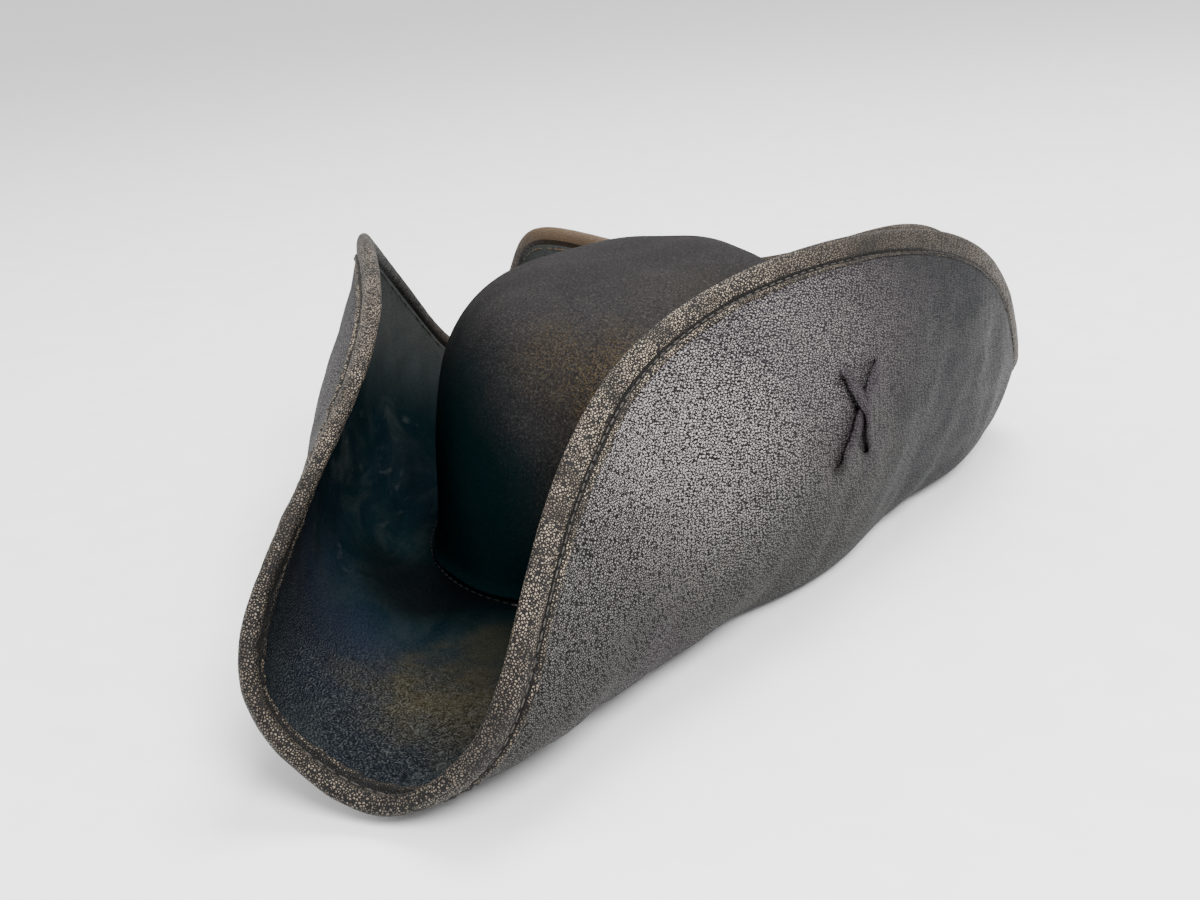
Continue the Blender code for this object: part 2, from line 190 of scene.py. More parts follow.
def brim_grid(distances, columns):
    """Middle points and outward normals at distances[row, column] in from the rim."""
    grid = np.empty(distances.shape + (6,))
    for k, col in enumerate(columns):
        run = INWARD[::-1, col]
        for c in range(6):
            grid[:, k, c] = np.interp(distances[:, k], run, BOTH[::-1, col, c])
    return grid[..., :3], unit(grid[..., 3:])


def brim_spot(place, distance):
    """Middle points and normals at any places and distances, given as equal arrays."""
    x = np.mod(place, 2.0) * FINE / 2.0
    low = np.floor(x).astype(int) % FINE
    part = (x - np.floor(x))[:, None]
    halves = []
    for side in (low, (low + 1) % FINE):
        rows = [[np.interp(d, INWARD[::-1, col], BOTH[::-1, col, c]) for c in range(6)]
                for d, col in zip(distance, side)]
        halves.append(np.array(rows))
    mix = halves[0] * (1 - part) + halves[1] * part
    return mix[:, :3], unit(mix[:, 3:])


# Soft creases pressed into the flaps: two ends, height and half width (m)
CREASES = [
    ((0.134, 0.057, 0.091), (0.123, 0.033, 0.050), 0.00026, 0.0030),
    ((0.138, 0.068, 0.086), (0.126, 0.043, 0.047), -0.00018, 0.0034),
    ((0.120, 0.026, 0.046), (0.110, 0.004, 0.030), 0.00024, 0.0032),
    ((0.126, 0.040, 0.040), (0.114, 0.016, 0.026), 0.00020, 0.0032),
    ((0.142, 0.086, 0.080), (0.136, 0.064, 0.040), 0.00020, 0.0040),
    ((0.132, 0.070, 0.036), (0.118, 0.040, 0.022), -0.00016, 0.0038),
    ((-0.134, 0.060, 0.088), (-0.121, 0.036, 0.048), 0.00046, 0.0030),
    ((-0.118, 0.020, 0.050), (-0.104, -0.012, 0.032), 0.00039, 0.0030),
    ((-0.060, -0.130, 0.060), (-0.064, -0.100, 0.020), 0.00033, 0.0040),
    ((0.066, -0.110, 0.020), (0.092, -0.050, 0.030), 0.00033, 0.0040),
    ((0.030, 0.196, 0.062), (0.022, 0.190, 0.024), 0.00039, 0.0035),
    ((-0.040, 0.194, 0.064), (-0.030, 0.188, 0.022), 0.00039, 0.0035),
]


def crease_height(points):
    total = np.zeros(points.shape[:-1])
    wander = 0.0012 * np.stack([lumps(points, 0.022, seed) for seed in (6, 7, 8)], -1)
    for start, end, height, width in CREASES:
        a, b = np.array(start), np.array(end)
        run = b - a
        share = np.clip((points + wander - a) @ run / (run @ run), 0, 1)
        gap = np.linalg.norm(points + wander - a - share[..., None] * run, axis=-1)
        ends = np.minimum(smooth_step(0, 0.25, share) + 0.15, 1) * (1 - 0.85 * smooth_step(0.7, 1, share))
        total += height * ends * np.exp(-(gap / width) ** 2)
    return total


def sheet_sway(points, distances):
    """How far the soft sheet stands out of its smooth shape."""
    near_rim = smooth_step(HEM_WIDTH * 0.9, HEM_WIDTH + 0.016, distances)
    off_floor = smooth_step(0.0006, 0.016, points[..., 2] - ORIGIN[2])
    sway = 0.00055 * lumps(points, 0.045, 3) + 0.00022 * lumps(points, 0.017, 4)
    return (sway * off_floor + crease_height(points)) * near_rim


# ---------------------------------------------------------------- meshes
def link_piece(name, mesh, mat):
    """New smooth object of one material from a finished mesh."""
    mesh.shade_smooth()
    mesh.materials.append(mat)
    piece = bpy.data.objects.new(name, mesh)
    bpy.context.scene.collection.objects.link(piece)
    return piece


def add_mesh(name, points, quads, mat):
    mesh = bpy.data.meshes.new(name)
    points, quads = np.asarray(points, np.float32), np.asarray(quads, np.int32)
    mesh.vertices.add(len(points))
    mesh.vertices.foreach_set("co", points.ravel())
    mesh.loops.add(quads.size)
    mesh.loops.foreach_set("vertex_index", quads.ravel())
    mesh.polygons.add(len(quads))
    mesh.polygons.foreach_set("loop_start", np.arange(0, quads.size, quads.shape[1], dtype=np.int32))
    mesh.update(calc_edges=True)
    mesh.validate()
    return link_piece(name, mesh, mat)


def ring_quads(rings, sides):
    """Quads of a ring-shaped body: rings places round, sides points in each section."""
    i, j = np.meshgrid(np.arange(rings), np.arange(sides), indexing="ij")
    i2, j2 = (i + 1) % rings, (j + 1) % sides
    return np.stack([i * sides + j, i * sides + j2, i2 * sides + j2, i2 * sides + j], -1).reshape(-1, 4)


def face_outward(piece):
    mesh = piece.data
    count = len(mesh.vertices)
    points = np.empty(count * 3)
    mesh.vertices.foreach_get("co", points)
    points = points.reshape(-1, 3)
    mesh.calc_loop_triangles()
    tris = np.empty(len(mesh.loop_triangles) * 3, np.int32)
    mesh.loop_triangles.foreach_get("vertices", tris)
    a, b, c = (points[tris[k::3]] for k in range(3))
    if np.einsum("ij,ij->i", a, np.cross(b, c)).sum() < 0:
        mesh.flip_normals()
    return piece


def add_ring(name, loops, mat):
    """loops[place, section point]."""
    rings, sides = loops.shape[:2]
    return face_outward(add_mesh(name, loops.reshape(-1, 3), ring_quads(rings, sides), mat))


def tube_faces(levels, sides):
    """Quads and end triangles of a closed tube whose two tip points come last."""
    quads = [(i * sides + j, i * sides + (j + 1) % sides,
              (i + 1) * sides + (j + 1) % sides, (i + 1) * sides + j)
             for i in range(levels - 1) for j in range(sides)]
    top = (levels - 1) * sides
    caps = []
    for j in range(sides):
        k = (j + 1) % sides
        caps += [(levels * sides, k, j), (levels * sides + 1, top + j, top + k)]
    return quads, caps


# share of a stitch's length and of its radius, along one rounded thread
STITCH_SHAPE = [(0.0, 0.35), (0.06, 0.75), (0.2, 1.0), (0.5, 1.08), (0.8, 1.0), (0.94, 0.75), (1.0, 0.35)]
STITCH_SIDES = 7
STITCH_FLATNESS = 0.8


def capsules(name, starts, ends, radius, ups, mat):
    """Short rounded threads from starts to ends as one piece."""
    run = ends - starts
    across = unit(np.cross(ups, run))
    up = unit(np.cross(run, across))
    turn = np.arange(STITCH_SIDES) * 2 * math.pi / STITCH_SIDES
    sections = []
    for share, wide in STITCH_SHAPE:
        middle = starts + run * share
        offset = (np.cos(turn)[None, :, None] * across[:, None]
                  + STITCH_FLATNESS * np.sin(turn)[None, :, None] * up[:, None])
        sections.append(middle[:, None] + radius * wide * offset)
    points = np.stack(sections, 1)
    count, levels = points.shape[:2]
    tips = np.stack([starts, ends], 1)
    all_points = np.concatenate([points.reshape(count, -1, 3), tips], 1).reshape(-1, 3)
    quads, caps = tube_faces(levels, STITCH_SIDES)
    first_point = np.arange(count)[:, None, None] * (levels * STITCH_SIDES + 2)
    quads = (np.array(quads)[None] + first_point).reshape(-1, 4)
    caps = (np.array(caps)[None] + first_point).reshape(-1, 3)
    mesh = bpy.data.meshes.new(name)
    mesh.from_pydata(all_points.tolist(), [], quads.tolist() + caps.tolist())
    return face_outward(link_piece(name, mesh, mat))


def settle(piece, slot, *nodes):
    """Tie a fine piece to the body and hide the nodes it replaces; slot is not used."""
    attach(piece, "root")
    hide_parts(*nodes)
    return piece


# ---------------------------------------------------------------- materials
# linear colours
OUTER_DARK, OUTER_PALE = (0.0085, 0.0085, 0.0095), (0.0160, 0.0156, 0.0158)
# painted shade for the upper rear of the +X flap's outer face
OUTER_PAINTED_SHADE = (0.0045, 0.0050, 0.0062)
OUTER_PINK, OUTER_OLIVE = (0.0230, 0.0105, 0.0220), (0.0165, 0.0160, 0.0085)
# painted highlight for the outer grain tops, then near-black painted shade for its hollows and shaded far
# side
OUTER_HIGHLIGHT, OUTER_PAINTED_SHADOW = (0.270, 0.255, 0.245), (0.0006, 0.0006, 0.0007)
OUTER_DUST = (0.0260, 0.0255, 0.0240)
HEM_DARK, HEM_TAN, HEM_REAR = (0.0080, 0.0066, 0.0056), (0.0260, 0.0185, 0.0125), (0.0230, 0.0175, 0.0130)
HEM_BRONZE, HEM_GOLD = (0.0900, 0.0560, 0.0300), (0.0620, 0.0450, 0.0260)
# painted highlight for the band's pebble tops, then near-black painted shade
HEM_HIGHLIGHT, HEM_PAINTED_SHADOW = (0.450, 0.365, 0.275), (0.0008, 0.0007, 0.0006)
INNER_TEAL, INNER_NAVY = (0.0001, 0.0054, 0.0070), (0.0005, 0.0052, 0.0082)
INNER_GREY = (0.0076, 0.0086, 0.0112)
# blue patch colour, then painted light for the upper part of the inner face
INNER_BLUE, INNER_UPPER_LIGHT = (0.0078, 0.0130, 0.0250), (0.0380, 0.0400, 0.0380)
INNER_HAZE, INNER_OLIVE = (0.0150, 0.0200, 0.0205), (0.0250, 0.0215, 0.0125)
# lint colour, then near-black painted shade for the inner face
INNER_LINT, INNER_PAINTED_SHADOW = (0.090, 0.092, 0.090), (0.0004, 0.0008, 0.0010)
CROWN_DARK, CROWN_PALE = (0.0096, 0.0088, 0.0092), (0.0176, 0.0164, 0.0166)
# near-black teal painted shade for the crown's front left
CROWN_SHADE_TEAL = (0.0001, 0.0080, 0.0096)
CROWN_TAN, CROWN_FAINT, CROWN_BROWN = (0.062, 0.045, 0.022), (0.018, 0.016, 0.013), (0.0115, 0.0092, 0.0068)
# lint colour, then near-black painted shade for the crown's grain hollows
CROWN_LINT, CROWN_PAINTED_SHADOW = (0.058, 0.054, 0.049), (0.0030, 0.0032, 0.0034)
# painted light for the crown's top
CROWN_TOP_LIGHT = (0.0240, 0.0225, 0.0230)


class Nodes:
    """Short names for building one material's nodes."""

    def __init__(self, name):
        self.mat = bpy.data.materials.new(name)
        self.mat.use_nodes = True
        self.tree = self.mat.node_tree
        self.shader = self.tree.nodes["Principled BSDF"]
        self.coord = self.tree.nodes.new("ShaderNodeTexCoord").outputs["Object"]

    def put(self, socket, value):
        if isinstance(value, bpy.types.NodeSocket):
            self.tree.links.new(value, socket)
        elif value is not None:
            socket.default_value = value

    def node(self, kind, **settings):
        node = self.tree.nodes.new(kind)
        for key, value in settings.items():
            setattr(node, key, value)
        return node

    def noise(self, scale, detail=2.0, rough=0.5, distortion=0.0, vector=None):
        node = self.node("ShaderNodeTexNoise")
        for key, value in (("Vector", vector or self.coord), ("Scale", scale), ("Detail", detail),
                           ("Roughness", rough), ("Distortion", distortion)):
            self.put(node.inputs[key], value)
        return node.outputs["Fac"]

    def cells(self, scale, feature="F1", random=1.0, vector=None):
        node = self.node("ShaderNodeTexVoronoi", feature=feature)
        for key, value in (("Vector", vector or self.coord), ("Scale", scale), ("Randomness", random)):
            self.put(node.inputs[key], value)
        return node.outputs["Distance"]

    def ripple(self, pitch):
        """Crooked ridges a given distance apart, about 0 to 1."""
        node = self.node("ShaderNodeTexGabor", gabor_type="3D")
        for key, value in (("Vector", self.coord), ("Scale", 0.5 / pitch), ("Frequency", 2.0),
                           ("Anisotropy", 0.0)):
            self.put(node.inputs[key], value)
        return node.outputs["Value"]

    def lines(self, pitch, wander, crook, tilt):
        """Wavy level lines a given distance apart, 0 to 1."""
        node = self.node("ShaderNodeTexWave", wave_type="BANDS", bands_direction="Z", wave_profile="SIN")
        for key, value in (("Vector", self.stretched((1.0, 1.0, 1.0), tilt)), ("Scale", math.pi / 10 / pitch),
                           ("Distortion", wander), ("Detail", 2.0), ("Detail Scale", crook),
                           ("Detail Roughness", 0.5)):
            self.put(node.inputs[key], value)
        return self.span(node.outputs["Fac"], 0.25, 0.75)

    def math(self, op, a, b=None, clamp=False):
        node = self.node("ShaderNodeMath", operation=op, use_clamp=clamp)
        self.put(node.inputs[0], a)
        self.put(node.inputs[1], b)
        return node.outputs[0]

    def times(self, a, b, clamp=False):
        return self.math("MULTIPLY", a, b, clamp)

    def span(self, value, low, high, out_low=0.0, out_high=1.0):
        """Smooth change from out_low to out_high as value goes from low to high."""
        node = self.node("ShaderNodeMapRange", interpolation_type="SMOOTHSTEP")
        for key, number in (("Value", value), ("From Min", low), ("From Max", high),
                            ("To Min", out_low), ("To Max", out_high)):
            self.put(node.inputs[key], number)
        return node.outputs["Result"]

    def mix(self, share, a, b, blend="MIX"):
        node = self.node("ShaderNodeMix", data_type="RGBA", blend_type=blend)
        for place, value in ((0, share), (6, a), (7, b)):
            if isinstance(value, tuple):
                value = (*value, 1.0)
            self.put(node.inputs[place], value)
        return node.outputs[2]

    def blob(self, centre, inner, outer, wobble=0.0, scale=30.0):
        """1 near centre, fading to 0 between two distances, with a ragged edge."""
        node = self.node("ShaderNodeVectorMath", operation="DISTANCE")
        self.put(node.inputs[0], self.coord)
        node.inputs[1].default_value = centre
        gap = node.outputs["Value"]
        if wobble:
            gap = self.math("ADD", gap, self.times(self.math(
                "SUBTRACT", self.noise(scale, 3.0, 0.6), 0.5), wobble))
        return self.span(gap, inner, outer, 1.0, 0.0)

    def axis(self, name):
        node = self.node("ShaderNodeSeparateXYZ")
        self.put(node.inputs[0], self.coord)
        return node.outputs[name]

    def stretched(self, scale, rotation=(0.0, 0.0, 0.0)):
        node = self.node("ShaderNodeMapping")
        self.put(node.inputs["Vector"], self.coord)
        node.inputs["Scale"].default_value = scale
        node.inputs["Rotation"].default_value = rotation
        return node.outputs["Vector"]

    def bump(self, height, strength, distance, normal=None):
        node = self.node("ShaderNodeBump")
        for key, value in (("Height", height), ("Strength", strength), ("Distance", distance),
                           ("Normal", normal)):
            self.put(node.inputs[key], value)
        return node.outputs["Normal"]

    def done(self, colour, roughness, normal=None, **fixed):
        if isinstance(colour, tuple):
            colour = (*colour, 1.0)
        self.put(self.shader.inputs["Base Color"], colour)
        self.put(self.shader.inputs["Roughness"], roughness)
        self.put(self.shader.inputs["Normal"], normal)
        for key, value in fixed.items():
            self.shader.inputs[key.replace("_", " ")].default_value = value
        return self.mat


def outer_cloth(name, grain_highlight=1.0):
    """Rippled cloth with painted highlights on its grain tops; the second argument tells how strong the
    painted highlights are.
    """
    n = Nodes(name)
    dots = n.span(n.cells(1200.0, "DISTANCE_TO_EDGE", 0.80), 0.02, 0.27)
    long_dots = n.span(n.cells(1120.0, "DISTANCE_TO_EDGE", 0.80, n.stretched((1.0, 0.62, 1.15))), 0.02, 0.34)
    waves = n.math("ADD", n.times(n.lines(0.00115, 9.0, 1.3, (0.35, 0.0, 0.0)), 0.30),
                   n.times(long_dots, 0.70))
    lump = n.noise(1500.0, 2.0, 0.6)
    grain = n.mix(n.span(n.axis("Y"), -0.150, -0.070, 0.1, 1.0), dots, waves)
    patch = n.noise(18.0, 4.0, 0.62)
    front = n.math("ADD", n.axis("Y"), n.times(n.math("SUBTRACT", patch, 0.5), 0.12))
    front = n.times(n.span(front, 0.070, -0.100), n.span(n.axis("X"), -0.05, 0.01, 0.35, 1.0))
    # two painted pools of light on the +X front flap
    light_pool = n.math("MAXIMUM", n.blob((0.079, -0.088, 0.086), 0.012, 0.070, 0.05),
                  n.times(n.blob((0.094, -0.036, 0.110), 0.004, 0.062, 0.04), 0.45))
    cloud = n.noise(32.0, 5.0, 0.66, 0.5)
    base = n.mix(n.span(cloud, 0.36, 0.64), OUTER_DARK, OUTER_PALE)
    mottle = n.noise(150.0, 4.0, 0.7)
    base = n.mix(n.times(n.span(mottle, 0.48, 0.66), 0.38), base, OUTER_DUST)
    tint = n.mix(n.span(n.noise(13.0, 2.0), 0.40, 0.58), OUTER_PINK, OUTER_OLIVE)
    base = n.mix(n.times(front, 0.55), base, tint)
    base = n.mix(n.times(n.blob((0.061, -0.122, 0.082), 0.006, 0.040, 0.03), 0.5), base, OUTER_PINK)
    # painted shade high on the rear of the +X flap's outer face
    base = n.mix(n.times(n.blob((0.128, 0.075, 0.104), 0.006, 0.034, 0.03), 0.55), base, OUTER_PAINTED_SHADE)
    # painted highlight on the grain tops: strongest at the front and in the pools of light, fading low down
    painted_highlight = n.math("ADD", n.times(front, 0.44 * grain_highlight), n.times(light_pool, 0.54 * grain_highlight))
    painted_highlight = n.times(painted_highlight, n.span(n.axis("Z"), 0.020, 0.090, 0.28, 1.0))
    top = n.times(n.span(grain, 0.30, 0.64), painted_highlight, clamp=True)
    base = n.mix(top, base, OUTER_HIGHLIGHT)
    # painted shade in the grain's hollows, strongest at the front
    valley_shade = n.times(n.span(grain, 0.41, 0.18), n.math("ADD", n.times(front, 0.88), 0.12))
    base = n.mix(valley_shade, base, OUTER_PAINTED_SHADOW)
    # painted shade on the outer face of the far -X flap
    far_shade = n.blob((-0.146, 0.030, 0.082), 0.020, 0.062, 0.03)
    base = n.mix(n.times(far_shade, 0.75), base, OUTER_PAINTED_SHADOW)
    normal = n.bump(lump, 0.30, 0.0002)
    height = n.times(grain, n.math("ADD", n.times(front, 0.80), 0.16))
    normal = n.bump(height, 0.9, 0.0006, normal)
    rough = n.span(grain, 0.35, 0.70, 0.78, 0.50)
    return n.done(base, rough, normal, Specular_IOR_Level=0.14)


def hem_cloth(name, lit_share):
    """Pebbled band; the second argument tells how strong the painted highlights on its pebble tops are, and
    below half the whole band is painted in shade.
    """
    n = Nodes(name)
    bead = n.span(n.cells(1100.0, "DISTANCE_TO_EDGE", 0.82), 0.02, 0.33)
    patch = n.noise(42.0, 4.0, 0.68)
    front = n.span(n.axis("Y"), 0.05, -0.07)
    base = n.mix(n.span(patch, 0.36, 0.62), HEM_DARK, HEM_TAN)
    base = n.mix(n.times(n.math("SUBTRACT", 1.0, front), 0.6), base, HEM_REAR)
    # painted highlight on the pebble tops, stronger at the front
    grain_highlight = n.times(n.span(bead, 0.38, 0.88), n.span(n.noise(65.0, 4.0, 0.6), 0.34, 0.60, 0.22, 1.0))
    base = n.mix(n.times(grain_highlight, n.span(front, 0.0, 1.0, 0.14 * lit_share, 0.62 * lit_share)), base, HEM_HIGHLIGHT)
    # painted shade in the hollows between the pebbles, stronger at the front
    valley_shade = n.times(n.span(bead, 0.46, 0.12), n.span(front, 0.0, 1.0, 0.25, 0.95))
    base = n.mix(valley_shade, base, HEM_PAINTED_SHADOW)
    tip = n.blob((-0.128, 0.066, 0.116), 0.018, 0.062, 0.03)
    base = n.mix(n.times(tip, 0.65), base, HEM_DARK)
    bronze = n.blob((-0.080, 0.190, 0.100), 0.012, 0.044, 0.03)
    base = n.mix(n.times(bronze, 0.55), base, HEM_BRONZE)
    # painted shade on the far -X flap's band, the down-facing front band and the top of the +X band
    far_shade = n.blob((-0.148, 0.114, 0.088), 0.030, 0.072, 0.03)
    low = n.blob((-0.020, -0.190, 0.020), 0.050, 0.120, 0.04)
    shade = n.math("MAXIMUM", n.times(far_shade, 0.78), n.times(low, 0.60))
    shade = n.math("MAXIMUM", shade, n.times(n.blob((0.105, 0.02, 0.115), 0.03, 0.08, 0.03), 0.40))
    base = n.mix(shade, base, HEM_PAINTED_SHADOW)
    tan = n.blob((-0.118, 0.000, 0.085), 0.014, 0.056, 0.04, 40.0)
    base = n.mix(n.times(tan, n.span(patch, 0.40, 0.60, 0.15, 0.65)), base, HEM_GOLD)
    # the groove's copy of the band is painted in shade all over
    if lit_share < 0.5:
        base = n.mix(0.75, base, HEM_PAINTED_SHADOW)
    height = n.times(bead, n.span(front, 0.0, 1.0, 0.25, 1.0))
    normal = n.bump(height, 0.8, 0.0005)
    rough = n.span(bead, 0.2, 0.9, 0.75, 0.42)
    return n.done(base, rough, normal, Specular_IOR_Level=0.22)


def inner_cloth(name):
    """Dark clouded cloth of the brim's inner face, with an olive stain in the front spout."""
    n = Nodes(name)
    cloud = n.noise(17.0, 4.0, 0.64, 0.6)
    base = n.mix(n.span(cloud, 0.38, 0.62), INNER_TEAL, INNER_NAVY)
    front = n.span(n.axis("Y"), -0.080, -0.150)
    blue = n.blob((-0.062, -0.132, 0.032), 0.010, 0.060, 0.04)
    base = n.mix(n.times(blue, 0.85), base, INNER_BLUE)
    base = n.mix(n.times(front, 0.75), base, INNER_GREY)
    # painted light: the upper part of the inner face made paler
    high = n.span(n.math("ADD", n.axis("Z"), n.times(n.axis("Y"), 0.45)), 0.060, 0.125)
    base = n.mix(n.times(high, 0.85), base, INNER_UPPER_LIGHT)
    haze = n.noise(30.0, 5.0, 0.66, 1.4, n.stretched((1.0, 0.5, 0.75), (0.4, 0.0, 0.5)))
    cloudy = n.math("MAXIMUM", n.blob((-0.124, 0.045, 0.052), 0.008, 0.042, 0.04),
                    n.blob((-0.100, -0.030, 0.042), 0.008, 0.052, 0.05))
    cloudy = n.math("ADD", 0.35, n.times(cloudy, 0.65))
    base = n.mix(n.times(n.span(haze, 0.40, 0.70), cloudy), base, INNER_HAZE)
    olive = n.blob((-0.010, -0.138, 0.004), 0.006, 0.046, 0.06, 34.0)
    second = n.times(n.blob((-0.008, -0.095, 0.004), 0.006, 0.030, 0.05, 38.0), 0.6)
    ragged = n.span(n.noise(60.0, 4.0, 0.7), 0.30, 0.56, 0.45, 1.0)
    olive = n.times(n.math("MAXIMUM", olive, second), ragged)
    base = n.mix(n.times(olive, 0.9), base, INNER_OLIVE)
    # painted shade in the trough by the crown's foot at the -X front
    crown_foot_shade = n.blob((-0.055, -0.052, 0.006), 0.016, 0.044, 0.02)
    base = n.mix(n.times(crown_foot_shade, 0.85), base, INNER_PAINTED_SHADOW)
    wisp = n.noise(70.0, 3.0, 0.6, 2.4, n.stretched((1.0, 0.35, 1.0), (0.2, 0.3, 0.9)))
    wisp = n.times(n.span(wisp, 0.58, 0.74), n.span(n.noise(22.0), 0.48, 0.62))
    base = n.mix(n.times(wisp, 0.15), base, INNER_LINT)
    speck = n.noise(1700.0, 2.0, 0.7)
    worm = n.ripple(0.00090)
    grain = n.mix(front, speck, worm)
    light = n.times(n.span(grain, 0.50, 0.68), n.math("ADD", n.times(front, 0.24), 0.035))
    base = n.mix(light, base, INNER_LINT)
    # painted shade in the grain's hollows
    base = n.mix(n.times(n.span(grain, 0.50, 0.36), 0.6), base, INNER_PAINTED_SHADOW)
    normal = n.bump(grain, 0.7, 0.0004)
    normal = n.bump(haze, 0.30, 0.0008, normal)
    return n.done(base, 0.85, normal, Specular_IOR_Level=0.02)


def crown_cloth(name):
    """Dark speckled cloth with a rubbed tan patch, painted light towards its top and near-black teal painted
    shade low at the front left.
    """
    n = Nodes(name)
    cloud = n.noise(22.0, 4.0, 0.62, 0.4)
    base = n.mix(n.span(cloud, 0.35, 0.66), CROWN_DARK, CROWN_PALE)
    # painted light: the crown made paler towards its top
    base = n.mix(n.span(n.axis("Z"), 0.095, 0.119, 0.0, 0.3), base, CROWN_TOP_LIGHT)
    # painted shade, near-black teal, low on the crown's front left
    low = n.blob((-0.085, -0.050, 0.020), 0.062, 0.112, 0.035, 26.0)
    base = n.mix(n.times(low, 0.97), base, CROWN_SHADE_TEAL)
    speck = n.noise(1500.0, 2.0, 0.7)
    tan = n.math("MAXIMUM", n.blob((0.022, -0.040, 0.090), 0.002, 0.034, 0.04, 44.0),
                 n.times(n.blob((0.000, -0.034, 0.098), 0.002, 0.024, 0.03, 44.0), 0.7))
    base = n.mix(n.times(tan, n.span(speck, 0.47, 0.64)), base, CROWN_TAN)
    faint = n.blob((0.045, 0.007, 0.111), 0.004, 0.030, 0.03, 40.0)
    base = n.mix(n.times(faint, 0.5), base, CROWN_FAINT)
    brown = n.blob((0.030, -0.048, 0.050), 0.010, 0.050, 0.04, 30.0)
    base = n.mix(n.times(brown, 0.5), base, CROWN_BROWN)
    fine = n.noise(1100.0, 3.0, 0.75)
    # less lint where that painted shade lies
    lint = n.times(n.span(fine, 0.53, 0.66), n.math("SUBTRACT", 0.46, n.times(low, 0.42)))
    base = n.mix(lint, base, CROWN_LINT)
    # painted shade in the grain's hollows
    base = n.mix(n.times(n.span(fine, 0.48, 0.34), 0.60), base, CROWN_PAINTED_SHADOW)
    normal = n.bump(fine, 0.5, 0.0004)
    normal = n.bump(speck, 0.45, 0.0006, normal)
    return n.done(base, 0.82, normal, Specular_IOR_Level=0.04)


def plain_cloth(name, dark, light, scale, roughness, bump=0.3):
    n = Nodes(name)
    weave = n.noise(scale, 3.0, 0.6)
    base = n.mix(n.span(weave, 0.35, 0.65), dark, light)
    return n.done(base, roughness, n.bump(weave, bump, 0.0003))


def seam_thread(name):
    """Dark thread, rubbed pale on the front of the crown's seam."""
    n = Nodes(name)
    shown = n.blob((0.008, -0.062, 0.004), 0.014, 0.034, 0.02, 60.0)
    base = n.mix(n.times(shown, n.span(n.noise(160.0, 2.0), 0.34, 0.56)), (0.005, 0.006, 0.007),
                 (0.230, 0.205, 0.165))
    return n.done(base, 0.8, n.bump(n.noise(1500.0, 2.0), 0.4, 0.0002), Specular_IOR_Level=0.15)


def metal(name):
    n = Nodes(name)
    drawn = n.noise(300.0, 2.0, 0.5)
    base = n.mix(n.span(drawn, 0.3, 0.7), (0.42, 0.42, 0.43), (0.58, 0.58, 0.59))
    return n.done(base, n.span(drawn, 0.3, 0.7, 0.30, 0.45), Metallic=1.0)


# ---------------------------------------------------------------- brim pieces
FLAT_LIP_LAST = 0.0094            # where a cover ends under the band, from the rim, once the lip is flat
OUTER_LAST, INNER_LAST = 0.0105, 0.0135


def brim_cover(name, node, side, slot, mat, last, dent=None):
    """One cover of the brim as a thin closed sheet, ending under the band at last (m) from the rim;
    side is 1 for the outer face, -1 for the inner."""
    columns = np.arange(0, FINE, 2)
    edge, ring = INWARD[0, columns], INWARD[1, columns]
    shares = np.concatenate([[0.0], np.linspace(0, 1, 80)])
    rear = smooth_step(*LIP_LIES_FLAT, np.minimum(PLACES, 2 - PLACES))[columns]
    last = last + (FLAT_LIP_LAST - last) * rear
    rows = last + (1 - shares)[:, None] * (ring - last)
    rows[0] = edge
    middle, normal = brim_grid(rows, columns)
    middle = middle + normal * sheet_sway(middle, rows)[..., None]
    face = middle + normal * side * BRIM_HALF
    if dent is not None:
        face = face + normal * dent(face)[..., None]
    back = middle[::-8] + normal[::-8] * side * (BRIM_HALF - COVER)
    loops = np.concatenate([face, back], 0).transpose(1, 0, 2)
    piece = settle(add_ring(name, loops, mat), slot, node)
    area = float(np.linalg.norm(np.cross(face[1:, :] - face[:-1, :], np.roll(face, -1, 1)[:-1] - face[:-1]),
                                axis=2).sum())
    return piece, area


def brim_filling(mat):
    """Stiff felt between the two covers."""
    columns = np.arange(0, FINE, 4)
    edge, ring = INWARD[0, columns], INWARD[1, columns]
    rows = 0.006 + (1 - np.linspace(0, 1, 60))[:, None] * (ring - 0.006)
    rows = np.concatenate([edge[None], rows])
    middle, normal = brim_grid(rows, columns)
    middle = middle + normal * sheet_sway(middle, rows)[..., None]
    half = BRIM_HALF - COVER - 0.0002
    loops = np.concatenate([middle + normal * half, (middle - normal * half)[::-1]], 0).transpose(1, 0, 2)
    return settle(add_ring("brim_filling", loops, mat), "brim_core", "brim_core")


def rim_wire(mat):
    columns = np.arange(0, FINE, 2)
    turn = np.arange(8) * math.pi / 4
    rows = 0.0042 + 0.0007 * np.cos(turn)[:, None] + np.zeros((8, len(columns)))
    middle, normal = brim_grid(rows, columns)
    loops = middle + normal * (0.0007 * np.sin(turn))[:, None, None]
    return settle(add_ring("rim_wire", loops.transpose(1, 0, 2), mat), "brim_edge_wire", "brim_edge_wire")


def lace_dents(points):
    """Dimples where the lacing goes through the flaps."""
    total = np.zeros(points.shape[:-1])
    for ends in LACES.values():
        place, dist = np.array(ends).T
        middle, normal = brim_spot(place, dist)
        for spot in middle + normal * BRIM_HALF:
            gap = np.linalg.norm(points - spot, axis=-1)
            total -= 0.0012 * np.exp(-(gap / 0.0042) ** 2)
    return total


